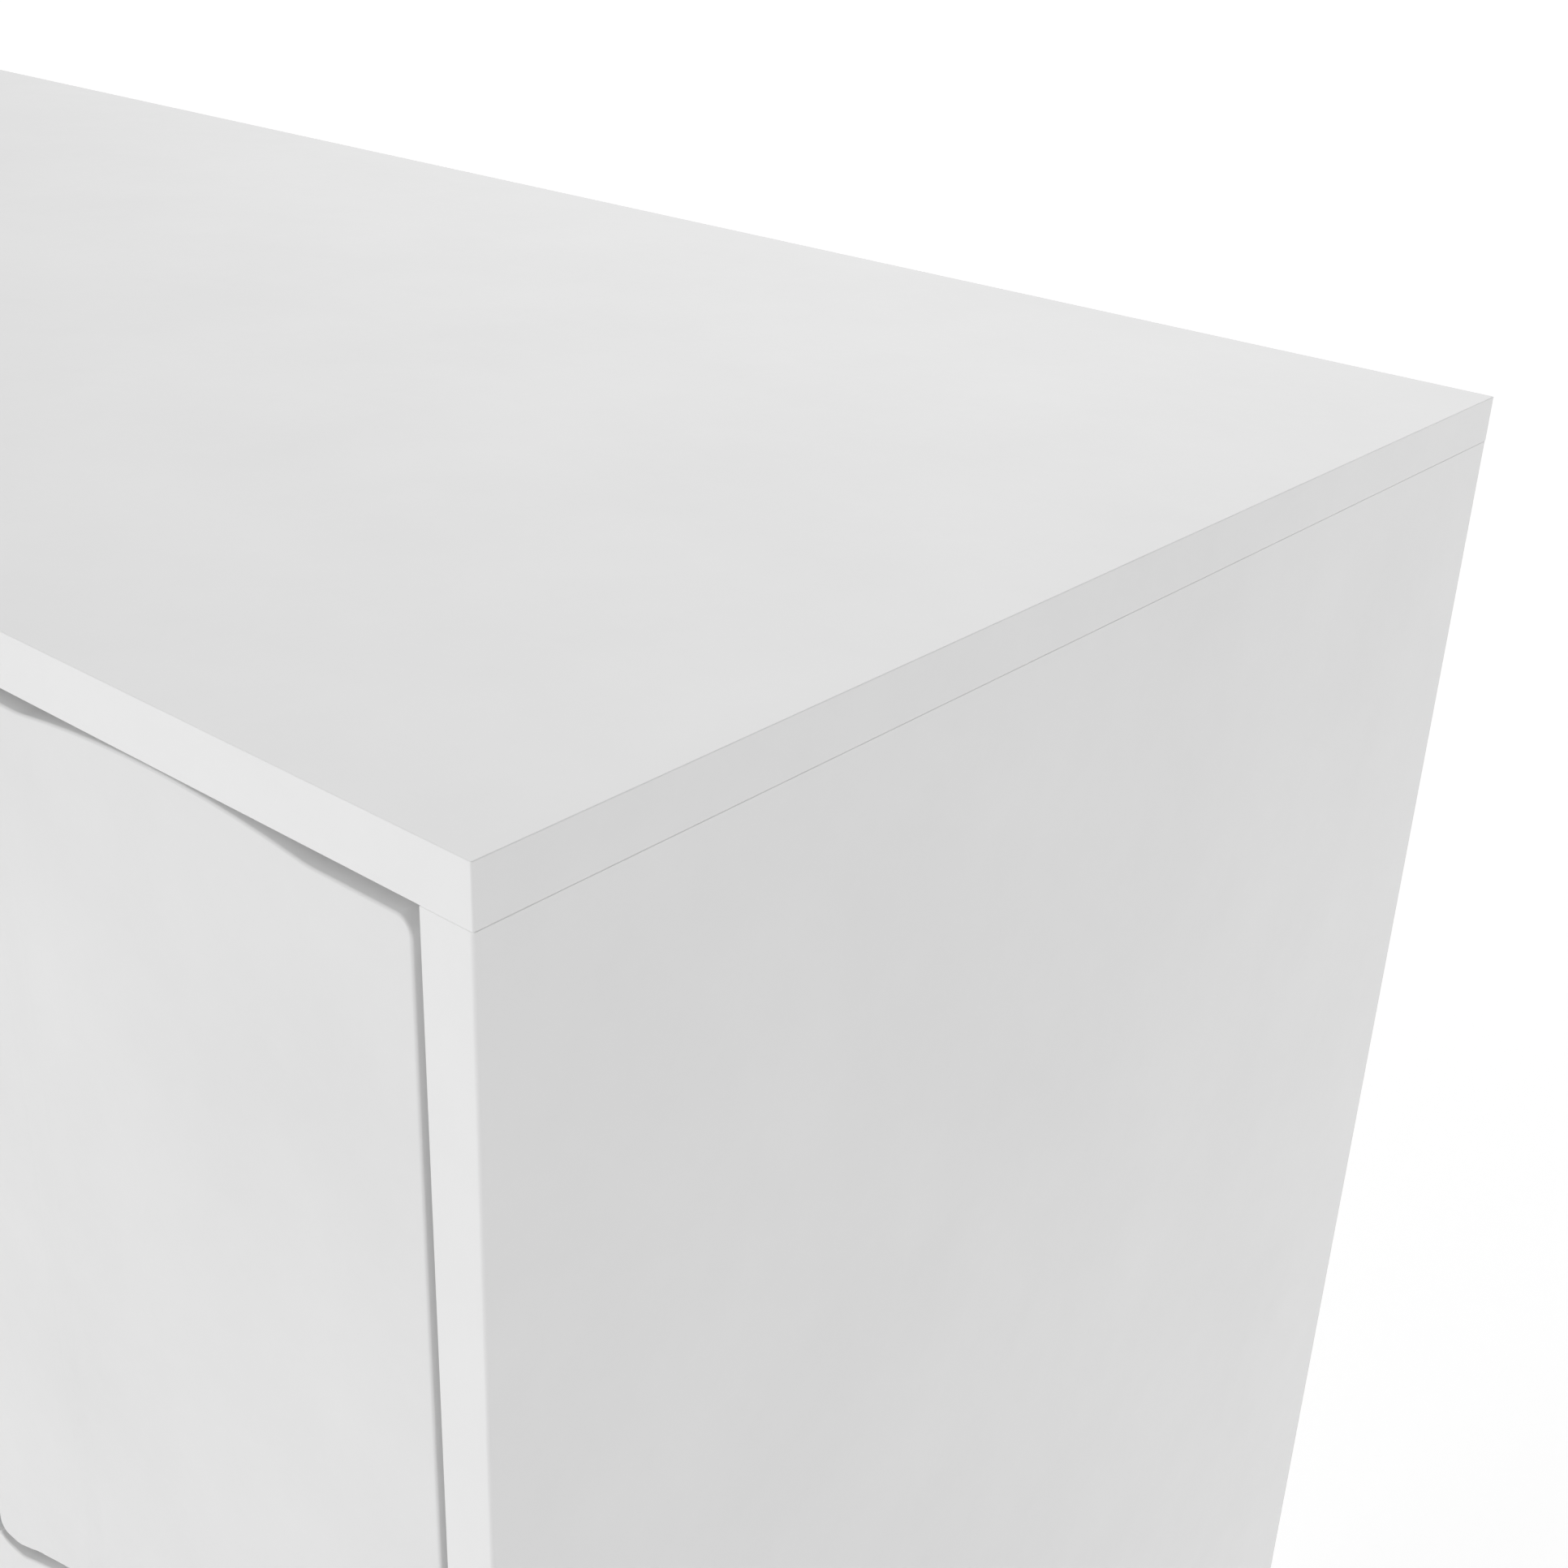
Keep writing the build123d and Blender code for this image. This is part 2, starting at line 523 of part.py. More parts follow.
def latch_plunger():
    """Plunger whose soft tip stands just behind the closed door."""
    front = (LATCH_X, FRONT_BOARD_REAR + PLUNGER_GAP, LATCH_LEVEL)
    length = LATCH_LENGTH - LATCH_BACK_WALL - LATCH_STROKE - CUT_OVERRUN
    stem = rod(front, Y_AXIS, PLUNGER_RADIUS, length)
    tip = rod(front, Y_AXIS, PLUNGER_RADIUS + PLUNGER_TIP_REACH, PLUNGER_TIP_LENGTH)
    tip = fillet(tip.edges().sort_by(Axis.Y)[0], PLUNGER_TIP_LENGTH / 3)
    return stem + tip


# Hinge plates of the inner door sit on the divider, so their screw holes are mirrored there
screw_levels = [level + side * PLATE_SCREW_OFFSET for level in HINGE_LEVELS for side in (-1, 1)]
plate_screw_holes = [plate_screw_hole(level) for level in screw_levels]
side_cuts += plate_screw_holes
divider_cuts += [to_inner_door(hole) for hole in plate_screw_holes]

outer_door = {
    "panel": [front_slab(door_outline()) - [crease()] - door_cuts()],
    "hinge_cups": [hinge_cup(level) for level in HINGE_LEVELS],
    "hinge_pins": [hinge_pin(level) for level in HINGE_LEVELS],
    "cup_screws": [
        cup_screw(level + side * CUP_SCREW_OFFSET) for level in HINGE_LEVELS for side in (-1, 1)
    ],
}
fixed_hardware = {
    "hinge_arms": [hinge_arm(level) for level in HINGE_LEVELS],
    "hinge_plates": [hinge_plate(level) for level in HINGE_LEVELS],
    "hinge_plate_screws": [plate_screw(level) for level in screw_levels],
    "latch_housings": [latch_housing()],
}
placements = {
    "right_outer_door": lambda shape: shape,
    "right_inner_door": to_inner_door,
    "left_inner_door": lambda shape: to_left(to_inner_door(shape)),
    "left_outer_door": to_left,
}
for door, place in placements.items():
    for piece, shapes in outer_door.items():
        save(f"{door}_{piece}", *[place(shape) for shape in shapes])
    save(f"{door}_latch_plunger", place(latch_plunger()))
for piece, shapes in fixed_hardware.items():
    save(piece, *[place(shape) for place in placements.values() for shape in shapes])


# Drawers and runners --------------------------------------------------------------------------

def drawer_outline():
    """Front whose top edge follows both doors above it, with a small cusp under their gap."""
    low_x = 2 * PAIR_CENTER - HINGE_EDGE
    arch_radius = ARCH_RADIUS - LEVEL_GAP
    half_chord = sqrt(arch_radius**2 - (DRAWER_TOP - ARCH_CENTER_LEVEL) ** 2)
    cusp_radius = CORNER_RADIUS + LEVEL_GAP
    cusp_start = CORNER_RADIUS + MEETING_GAP / 2
    cusp_level = DRAWER_TOP + cusp_radius - sqrt(cusp_radius**2 - cusp_start**2)
    half_way = cusp_start / 2
    half_way_level = DRAWER_TOP + cusp_radius - sqrt(cusp_radius**2 - half_way**2)
    cusp = (PAIR_CENTER, cusp_level)
    corners = [(x, z) for x in (low_x, HINGE_EDGE) for z in (DRAWER_BOTTOM, DRAWER_TOP)]
    knees = []
    edges = []
    for side in (-1, 1):
        door_x = PAIR_CENTER + side * (DOOR_CENTER - PAIR_CENTER)
        near = (door_x - side * half_chord, DRAWER_TOP)
        far = (door_x + side * half_chord, DRAWER_TOP)
        foot = (PAIR_CENTER + side * cusp_start, DRAWER_TOP)
        cusp_middle = (PAIR_CENTER + side * (cusp_start - half_way), half_way_level)
        end = (PAIR_CENTER + side * (HINGE_EDGE - PAIR_CENTER), DRAWER_TOP)
        edges += [
            ThreePointArc(cusp, cusp_middle, foot),
            Line(foot, near),
            ThreePointArc(near, (door_x, ARCH_CENTER_LEVEL + arch_radius), far),
            Line(far, end),
            Line(end, (end[0], DRAWER_BOTTOM)),
        ]
        knees += [near, far]
    edges.append(Line((low_x, DRAWER_BOTTOM), (HINGE_EDGE, DRAWER_BOTTOM)))
    face = make_face(edges).face()
    face = rounded(face, corners, CORNER_RADIUS)
    face = rounded(face, knees, ARCH_KNEE_RADIUS)
    return rounded(face, [cusp], CUSP_RADIUS)


def drawer_pieces():
    """Right-hand drawer: front, two sides, back and bottom."""
    inner = (BOX_X[0] + DRAWER_BOARD, BOX_X[1] - DRAWER_BOARD)
    bottom_x = (inner[0] - DRAWER_GROOVE_DEPTH, inner[1] + DRAWER_GROOVE_DEPTH)
    bottom_low = BOX_Z[0] + DRAWER_GROOVE_LEVEL
    bottom_z = (bottom_low, bottom_low + DRAWER_BOTTOM_BOARD)
    groove_x = (bottom_x[0] - GROOVE_PLAY, bottom_x[1] + GROOVE_PLAY)
    groove_y = (BOX_Y[0] - DRAWER_GROOVE_DEPTH - GROOVE_PLAY, BOX_Y[1] + CUT_OVERRUN)
    groove = block(groove_x, groove_y, (bottom_z[0] - GROOVE_PLAY, bottom_z[1] + GROOVE_PLAY))
    return {
        "front": front_slab(drawer_outline()) - groove,
        "outer_side": block((inner[1], BOX_X[1]), BOX_Y, BOX_Z) - groove,
        "inner_side": block((BOX_X[0], inner[0]), BOX_Y, BOX_Z) - groove,
        "back": block(inner, (BOX_Y[1] - DRAWER_BOARD, BOX_Y[1]), (bottom_z[1], BOX_Z[1])),
        "bottom": block(bottom_x, (BOX_Y[0] - DRAWER_GROOVE_DEPTH, BOX_Y[1]), bottom_z),
    }


def channel(web_x, open_x, half_height, y):
    """Thin C-shaped rail: an upright web and two flanges that reach towards open_x."""
    step = RUNNER_SHEET if open_x > web_x else -RUNNER_SHEET
    levels = (RUNNER_LEVEL - half_height, RUNNER_LEVEL + half_height)
    web = block(sorted((web_x, web_x + step)), y, levels)
    flanges = []
    for low in (levels[0], levels[1] - RUNNER_SHEET):
        flanges.append(block(sorted((web_x, open_x)), y, (low, low + RUNNER_SHEET)))
    return web + flanges


def cabinet_rail():
    return channel(SIDE_FACE, SIDE_FACE - OUTER_RAIL_REACH, RUNNER_HALF_HEIGHT, RUNNER_Y)


def drawer_rail():
    y = [end - INNER_RAIL_LEAD for end in RUNNER_Y]
    return channel(BOX_X[1], BOX_X[1] + INNER_RAIL_REACH, INNER_RAIL_HALF_HEIGHT, y)


def ball_cage():
    """Upper and lower strips of balls that roll between a runner's two rails."""
    middle_y = (RUNNER_Y[0] + RUNNER_Y[1]) / 2
    x = BOX_X[1] + CAGE_FROM_DRAWER
    y = (middle_y - CAGE_LENGTH / 2, middle_y + CAGE_LENGTH / 2)
    pitch = CAGE_LENGTH / CAGE_BALLS
    strips = []
    for side in (-1, 1):
        level = RUNNER_LEVEL + side * (INNER_RAIL_HALF_HEIGHT + BALL_SPACE / 2)
        band_z = (level - CAGE_SHEET / 2, level + CAGE_SHEET / 2)
        band = block((x - CAGE_HALF_WIDTH, x + CAGE_HALF_WIDTH), y, band_z)
        balls = []
        for index in range(CAGE_BALLS):
            balls.append(Pos(x, y[0] + (index + 0.5) * pitch, level) * Sphere(BALL_RADIUS))
        strips.append(band + balls)
    return strips


def pair_across_drawer(shapes):
    return shapes + [to_inner_door(shape) for shape in shapes]


drawer = {piece: [shape] for piece, shape in drawer_pieces().items()}
drawer["rails"] = pair_across_drawer([drawer_rail()])
drawer["ball_cages"] = pair_across_drawer(ball_cage())
drawer["cabinet_rails"] = pair_across_drawer([cabinet_rail()])
for piece, shapes in drawer.items():
    save(f"right_drawer_{piece}", *shapes)
    save(f"left_drawer_{piece}", *[to_left(shape) for shape in shapes])


# Feet -----------------------------------------------------------------------------------------

def foot(x, y):
    """Levelling foot: a round pad, a hexagon to turn it by and a stem up into the base."""
    pad = fillet(rod((x, y, 0), Z_AXIS, FOOT_RADIUS, FOOT_PAD).edges(), FOOT_PAD_EDGE)
    hexagon = extrude(Pos(x, y, FOOT_PAD) * RegularPolygon(FOOT_HEXAGON_RADIUS, 6), FOOT_HEXAGON)
    stem = rod((x, y, FOOT_PAD), Z_AXIS, FOOT_STEM_RADIUS, FOOT_STEM_TOP - FOOT_PAD)
    return pad + [hexagon, stem]


def foot_plate(x, y):
    low = FOOT_HEIGHT - FOOT_PLATE
    plate = rod((x, y, low), Z_AXIS, FOOT_RADIUS + FOOT_PLATE_RIM, FOOT_PLATE)
    hole_start = (x, y, low - CUT_OVERRUN)
    hole_length = FOOT_PLATE + 2 * CUT_OVERRUN
    return plate - rod(hole_start, Z_AXIS, FOOT_STEM_RADIUS + FASTENER_PLAY, hole_length)


def foot_hole(x, y):
    depth = FOOT_STEM_TOP - FOOT_HEIGHT + CUT_OVERRUN + FOOT_HOLE_PLAY
    start = (x, y, FOOT_HEIGHT - CUT_OVERRUN)
    return rod(start, Z_AXIS, FOOT_STEM_RADIUS + FOOT_HOLE_PLAY, depth)


foot_places = [(side * x, y) for side in (-1, 1) for x in FOOT_COLUMNS for y in FOOT_ROWS]
save("feet", *[foot(x, y) for x, y in foot_places])
save("foot_plates", *[foot_plate(x, y) for x, y in foot_places])
foot_holes = [foot_hole(x, y) for x, y in foot_places]


# Boards ---------------------------------------------------------------------------------------

def both_sides(shapes):
    return shapes + [to_left(shape) for shape in shapes]


groove_y = (BACK_FACE - GROOVE_PLAY, BACK_FACE + BACK_PANEL + GROOVE_PLAY)
groove_x = (-SIDE_FACE - GROOVE_DEPTH, SIDE_FACE + GROOVE_DEPTH)
groove = block(groove_x, groove_y, (BASE_TOP - GROOVE_DEPTH, UNDER_TOP + GROOVE_DEPTH))
board_rear = BACK_FACE - GROOVE_PLAY

top = block((-WIDTH / 2, WIDTH / 2), (FRONT, REAR), (UNDER_TOP, HEIGHT))
top = fillet(top.edges().filter_by(Axis.Z), TOP_CORNER_RADIUS)
top = fillet(top.faces().sort_by(Axis.Z)[-1].edges(), TOP_EDGE_RADIUS)
top = chamfer(top.faces().sort_by(Axis.Z)[0].edges(), SEAM_CHAMFER)
save("top_panel", top - both_sides(top_cuts) - groove)

side = block((SIDE_FACE, WIDTH / 2), (FRONT, REAR), (FOOT_HEIGHT, UNDER_TOP))
outer_edges = side.edges().filter_by(Axis.Z).group_by(Axis.X)[-1]
side = fillet(outer_edges, SIDE_CORNER_RADIUS)
side = chamfer(side.faces().sort_by(Axis.Z)[-1].edges(), SEAM_CHAMFER)
side = side - side_cuts - groove
save("right_side_panel", side)
save("left_side_panel", to_left(side))

divider = block((DIVIDER_INNER_FACE, DIVIDER_FACE), (FRONT, board_rear), (BASE_TOP, UNDER_TOP))
divider = divider - divider_cuts
save("right_divider", divider)
save("left_divider", to_left(divider))

base = block((-SIDE_FACE, SIDE_FACE), (FRONT, REAR), (FOOT_HEIGHT, BASE_TOP))
save("base_panel", base - both_sides(base_cuts) - foot_holes - groove)

floor_z = (CABINET_FLOOR_TOP - BOARD, CABINET_FLOOR_TOP)
cabinet_floor = block((DIVIDER_FACE, SIDE_FACE), (INNER_FRONT, board_rear), floor_z) - floor_cuts
save("right_cabinet_floor", cabinet_floor)
save("left_cabinet_floor", to_left(cabinet_floor))

shelf_x = (-DIVIDER_INNER_FACE, DIVIDER_INNER_FACE)
shelf_z = (CENTER_SHELF_TOP - BOARD, CENTER_SHELF_TOP)
center_shelf = block(shelf_x, (FRONT + CENTER_SHELF_SETBACK, board_rear), shelf_z)
save("center_shelf", center_shelf - both_sides(center_shelf_cuts))

loose_x = (DIVIDER_FACE + LOOSE_SHELF_PLAY, SIDE_FACE - LOOSE_SHELF_PLAY)
loose_z = (LOOSE_SHELF_TOP - BOARD, LOOSE_SHELF_TOP)
loose_y = (INNER_FRONT + LOOSE_SHELF_SETBACK, board_rear - LOOSE_SHELF_SETBACK)
loose_shelf = block(loose_x, loose_y, loose_z)
save("right_adjustable_shelf", loose_shelf)
save("left_adjustable_shelf", to_left(loose_shelf))

panel_margin = GROOVE_DEPTH - PANEL_END_PLAY
panel_x = (-SIDE_FACE - panel_margin, SIDE_FACE + panel_margin)
panel_z = (BASE_TOP - panel_margin, UNDER_TOP + panel_margin)
back_panel = block(panel_x, (BACK_FACE, BACK_FACE + BACK_PANEL), panel_z)
grommets = []
for level in CABLE_OUTLET_LEVELS:
    start = Vector(0, BACK_FACE - GROMMET_FLANGE_SHEET, level)
    ring_radius = CABLE_OUTLET_RADIUS + GROMMET_WALL
    ring = rod(start, Y_AXIS, ring_radius, GROMMET_LENGTH)
    flange = rod(start, Y_AXIS, CABLE_OUTLET_RADIUS + GROMMET_FLANGE, GROMMET_FLANGE_SHEET)
    before = start - Y_AXIS * CUT_OVERRUN
    opening = rod(before, Y_AXIS, CABLE_OUTLET_RADIUS, GROMMET_LENGTH + 2 * CUT_OVERRUN)
    grommets.append(ring + flange - opening)
    back_panel = back_panel - rod(before, Y_AXIS, ring_radius + FASTENER_PLAY, GROMMET_LENGTH)
save("back_panel", back_panel)
save("cable_grommets", *grommets)

save("cam_locks", *both_sides(cams))
save("cam_bolts", *both_sides(cam_bolts))
save("wood_dowels", *both_sides(dowels))
save("shelf_pins", *both_sides(shelf_pins))
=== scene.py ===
import json
import math
import bmesh
import bpy
from mathutils import Matrix, Vector

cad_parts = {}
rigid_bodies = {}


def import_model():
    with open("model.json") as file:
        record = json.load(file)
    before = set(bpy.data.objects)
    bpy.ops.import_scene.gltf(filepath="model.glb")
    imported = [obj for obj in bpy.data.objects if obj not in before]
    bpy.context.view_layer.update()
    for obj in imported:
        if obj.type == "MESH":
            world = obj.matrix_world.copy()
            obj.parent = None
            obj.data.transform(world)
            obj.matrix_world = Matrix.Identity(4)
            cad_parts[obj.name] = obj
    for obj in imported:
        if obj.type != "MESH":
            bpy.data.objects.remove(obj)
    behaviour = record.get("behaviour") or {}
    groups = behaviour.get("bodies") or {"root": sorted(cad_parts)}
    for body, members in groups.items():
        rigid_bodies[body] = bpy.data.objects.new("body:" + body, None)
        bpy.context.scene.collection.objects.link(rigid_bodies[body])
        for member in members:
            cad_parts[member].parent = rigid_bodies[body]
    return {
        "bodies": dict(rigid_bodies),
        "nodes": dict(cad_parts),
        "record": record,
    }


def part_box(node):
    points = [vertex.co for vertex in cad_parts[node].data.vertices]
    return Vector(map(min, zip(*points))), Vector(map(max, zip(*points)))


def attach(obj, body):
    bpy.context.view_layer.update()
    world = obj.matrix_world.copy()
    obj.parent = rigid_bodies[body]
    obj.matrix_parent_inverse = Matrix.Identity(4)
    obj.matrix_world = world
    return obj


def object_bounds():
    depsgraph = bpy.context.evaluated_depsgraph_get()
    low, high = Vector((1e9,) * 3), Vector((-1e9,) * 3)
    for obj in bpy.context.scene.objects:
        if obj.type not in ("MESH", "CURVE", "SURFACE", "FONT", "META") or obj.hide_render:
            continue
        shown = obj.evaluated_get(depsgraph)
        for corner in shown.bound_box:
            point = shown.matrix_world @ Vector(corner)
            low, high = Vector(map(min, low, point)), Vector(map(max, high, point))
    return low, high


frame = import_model()
cad_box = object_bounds()

MM = 0.001


# Node helpers ---------------------------------------------------------------------------------

# Range that nearly all of a noise's values lie in, and the narrower one that colours spread over
NOISE_RANGE = (0.25, 0.75)
TONE_RANGE = (0.3, 0.7)


def socket(node, name, value):
    node.inputs[name].default_value = value


def new_material(name):
    """Material with a Principled shader; returns it with its node tree and shader."""
    material = bpy.data.materials.new(name)
    material.use_nodes = True
    tree = material.node_tree
    shader = tree.nodes["Principled BSDF"]
    return material, tree, shader


def place_coordinates(tree, stretch=(1, 1, 1)):
    """Position in the shared frame; a smaller stretch makes features longer along that axis."""
    coordinates = tree.nodes.new("ShaderNodeTexCoord")
    mapping = tree.nodes.new("ShaderNodeMapping")
    socket(mapping, "Scale", stretch)
    tree.links.new(coordinates.outputs["Object"], mapping.inputs["Vector"])
    return mapping.outputs["Vector"]


def noise(tree, vector, size, detail=2.0, roughness=0.5):
    """Noise whose main features are about size metres across."""
    node = tree.nodes.new("ShaderNodeTexNoise")
    socket(node, "Scale", 1 / size)
    socket(node, "Detail", detail)
    socket(node, "Roughness", roughness)
    tree.links.new(vector, node.inputs["Vector"])
    return node.outputs["Fac"]


def spread(tree, value, low, high):
    """Maps a noise onto values from low to high."""
    node = tree.nodes.new("ShaderNodeMapRange")
    socket(node, "From Min", NOISE_RANGE[0])
    socket(node, "From Max", NOISE_RANGE[1])
    socket(node, "To Min", low)
    socket(node, "To Max", high)
    tree.links.new(value, node.inputs["Value"])
    return node.outputs["Result"]


def two_tone(tree, value, low, high):
    """Colour that runs from low to high with a noise."""
    ramp = tree.nodes.new("ShaderNodeValToRGB")
    for element, position, colour in zip(ramp.color_ramp.elements, TONE_RANGE, (low, high)):
        element.position = position
        element.color = (*colour, 1)
    tree.links.new(value, ramp.inputs["Fac"])
    return ramp.outputs["Color"]


def bump(tree, shader, height, distance, strength, after=None):
    """Bump of a height value, chained after an earlier one."""
    node = tree.nodes.new("ShaderNodeBump")
    socket(node, "Distance", distance)
    socket(node, "Strength", strength)
    tree.links.new(height, node.inputs["Height"])
    if after is not None:
        tree.links.new(after, node.inputs["Normal"])
    tree.links.new(node.outputs["Normal"], shader.inputs["Normal"])
    return node.outputs["Normal"]


# Materials ------------------------------------------------------------------------------------

def lacquer(name, low, high):
    """Sprayed white gloss lacquer: even colour, slight orange peel and faint haze."""
    material, tree, shader = new_material(name)
    place = place_coordinates(tree)
    clouds = noise(tree, place, size=0.09, detail=6, roughness=0.6)
    tree.links.new(two_tone(tree, clouds, low, high), shader.inputs["Base Color"])
    haze = noise(tree, place, size=0.05, detail=4)
    tree.links.new(spread(tree, haze, 0.10, 0.20), shader.inputs["Roughness"])
    socket(shader, "IOR", 1.5)
    socket(shader, "Coat Weight", 0.35)
    socket(shader, "Coat Roughness", 0.05)
    peel = noise(tree, place, size=3.5 * MM)
    peel_normal = bump(tree, shader, peel, distance=0.03 * MM, strength=0.5)
    waves = noise(tree, place, size=0.12, detail=1)
    bump(tree, shader, waves, distance=0.6 * MM, strength=0.25, after=peel_normal)
    return material


def board(name, low, high, rough, grain=0.6 * MM):
    """Satin foil or paint over board, with a fine pressed texture."""
    material, tree, shader = new_material(name)
    place = place_coordinates(tree)
    clouds = noise(tree, place, size=0.09, detail=4)
    tree.links.new(two_tone(tree, clouds, low, high), shader.inputs["Base Color"])
    haze = noise(tree, place, size=0.02, detail=3)
    tree.links.new(spread(tree, haze, rough - 0.06, rough + 0.06), shader.inputs["Roughness"])
    texture = noise(tree, place, size=grain, detail=3, roughness=0.6)
    bump(tree, shader, texture, distance=0.04 * MM, strength=0.5)
    return material


def metal(name, low, high, rough, grain, stretch=(1, 1, 1)):
    """Plated or cast metal with a fine directional or mottled surface."""
    material, tree, shader = new_material(name)
    place = place_coordinates(tree, stretch)
    mottle = noise(tree, place, size=grain * 6, detail=3)
    tree.links.new(two_tone(tree, mottle, low, high), shader.inputs["Base Color"])
    haze = noise(tree, place, size=grain * 3, detail=3)
    tree.links.new(spread(tree, haze, rough - 0.08, rough + 0.1), shader.inputs["Roughness"])
    socket(shader, "Metallic", 1.0)
    texture = noise(tree, place, size=grain, detail=3)
    bump(tree, shader, texture, distance=0.02 * MM, strength=0.5)
    return material


def plastic(name, low, high, rough):
    """Moulded plastic with spark-eroded texture."""
    material, tree, shader = new_material(name)
    place = place_coordinates(tree)
    clouds = noise(tree, place, size=0.02, detail=3)
    tree.links.new(two_tone(tree, clouds, low, high), shader.inputs["Base Color"])
    haze = noise(tree, place, size=4 * MM, detail=3)
    tree.links.new(spread(tree, haze, rough - 0.07, rough + 0.07), shader.inputs["Roughness"])
    texture = noise(tree, place, size=0.5 * MM)
    bump(tree, shader, texture, distance=0.03 * MM, strength=0.7)
    return material


def beech():
    """Bare beech with fine flecks."""
    material, tree, shader = new_material("beech_dowel")
    flecks = noise(tree, place_coordinates(tree), size=1.5 * MM, detail=5, roughness=0.7)
    colour = two_tone(tree, flecks, (0.55, 0.36, 0.2), (0.72, 0.53, 0.34))
    tree.links.new(colour, shader.inputs["Base Color"])
    tree.links.new(spread(tree, flecks, 0.5, 0.7), shader.inputs["Roughness"])
    bump(tree, shader, flecks, distance=0.05 * MM, strength=0.5)
    return material


materials = {
    "white_lacquer": lacquer("white_lacquer", (0.845, 0.845, 0.845), (0.905, 0.905, 0.904)),
    "white_melamine": board("white_melamine", (0.82, 0.82, 0.812), (0.855, 0.855, 0.85), 0.42),
    "white_hardboard": board("white_hardboard", (0.8, 0.8, 0.79), (0.825, 0.825, 0.817), 0.55, 1.2 * MM),
    "drawer_board": board("drawer_board", (0.77, 0.77, 0.762), (0.81, 0.81, 0.802), 0.48),
    "beech_dowel": beech(),
    "nickel_steel": metal("nickel_steel", (0.56, 0.55, 0.52), (0.66, 0.65, 0.62), 0.24, 0.4 * MM),
    "zinc_steel": metal("zinc_steel", (0.5, 0.53, 0.57), (0.64, 0.66, 0.69), 0.34, 0.8 * MM, (1, 0.08, 1)),
    "zinc_alloy": metal("zinc_alloy", (0.42, 0.42, 0.43), (0.55, 0.55, 0.56), 0.45, 0.5 * MM),
    "foot_plastic": plastic("foot_plastic", (0.03, 0.03, 0.032), (0.05, 0.05, 0.053), 0.5),
    "latch_plastic": plastic("latch_plastic", (0.5, 0.51, 0.52), (0.56, 0.57, 0.58), 0.42),
    "white_plastic": plastic("white_plastic", (0.78, 0.78, 0.775), (0.83, 0.83, 0.825), 0.35),
}

# The doors and drawer fronts are a touch less bright than the boards around them: a darker copy of the
# lacquer, painted shade standing in for the shading and reflection that darken them
front_lacquer_painted_shade = lacquer("front_lacquer_painted_shade", (0.755, 0.755, 0.755), (0.82, 0.82, 0.819))

for entry in frame["record"]["subparts"]:
    name = entry["node"]
    is_front = name.endswith("_door_panel") or name.endswith("_drawer_front")
    # Doors and drawer fronts take the darker lacquer copy, which paints shade into their colour
    finish = front_lacquer_painted_shade if is_front else materials[entry["material_slot"]]
    node = frame["nodes"][name]
    node.data.materials.clear()
    node.data.materials.append(finish)


# Small fittings -------------------------------------------------------------------------------

SHARP_ANGLE = math.radians(35)

# Cross recess: length and half width of its arms as shares of the plug's radius, size of its floor as a
# share of its mouth, and depth of the plug as a multiple of the recess's
CROSS_ARM = 0.78
CROSS_HALF_WIDTH = 0.2
CROSS_TAPER = 0.7
PLUG_DEPTH = 1.2

# Plugs in the screw heads: radius, depth of the cross, and how far they lie below the head's top
CUP_SCREW_PLUG = (1.18 * MM, 0.45 * MM, 0.25 * MM)
PLATE_SCREW_PLUG = (1.48 * MM, 0.35 * MM, 0.3 * MM)

# Adjusting screws on the hinge arms
ARM_SHEET = 2 * MM
ADJUSTERS_FROM_END = (8 * MM, 25 * MM)
ADJUSTER_PROFILE = ((0, 0), (3.4, 0), (3.4, 0.5), (3.0, 1.0), (1.75, 1.35), (1.75, 0.4), (0, 0.4))
ADJUSTER_PLUG_LEVEL = 1.3 * MM
ADJUSTER_PLUG = (1.72 * MM, 0.7 * MM)

# Caps over the cam fasteners: radius and height in millimetres, from the middle round to the middle
CAP_PROFILE = ((0, 0.05), (9.2, 0.05), (9.4, 0.45), (9.0, 0.85), (7.6, 1.05), (0, 1.2))
CAM_BELOW_BOARD = 0.2 * MM

# Ribbed bands round the feet
RIB_COUNT = 48
RIB_STEPS = 4
RIB_DEPTH = 0.5 * MM
BAND_PROUD = 0.05 * MM
BAND_BURIED = 1 * MM
BAND_LEVELS = (2 * MM, 6 * MM)


def separate_boxes(node):
    """Centre and box of each separate solid in a CAD node."""
    mesh = frame["nodes"][node].data
    group_of = {}

    def root(key):
        while group_of[key] != key:
            key = group_of[key]
        return key

    keys = [tuple(round(value / MM, 3) for value in vertex.co) for vertex in mesh.vertices]
    for key in keys:
        group_of.setdefault(key, key)
    for edge in mesh.edges:
        first, second = (root(keys[index]) for index in edge.vertices)
        group_of[first] = second
    boxes = {}
    for key, vertex in zip(keys, mesh.vertices):
        low, high = boxes.setdefault(root(key), (vertex.co.copy(), vertex.co.copy()))
        for axis in range(3):
            low[axis] = min(low[axis], vertex.co[axis])
            high[axis] = max(high[axis], vertex.co[axis])
    ordered = sorted(boxes.values(), key=lambda box: tuple(round(v / MM) for v in box[0]))
    return [((low + high) / 2, low, high) for low, high in ordered]


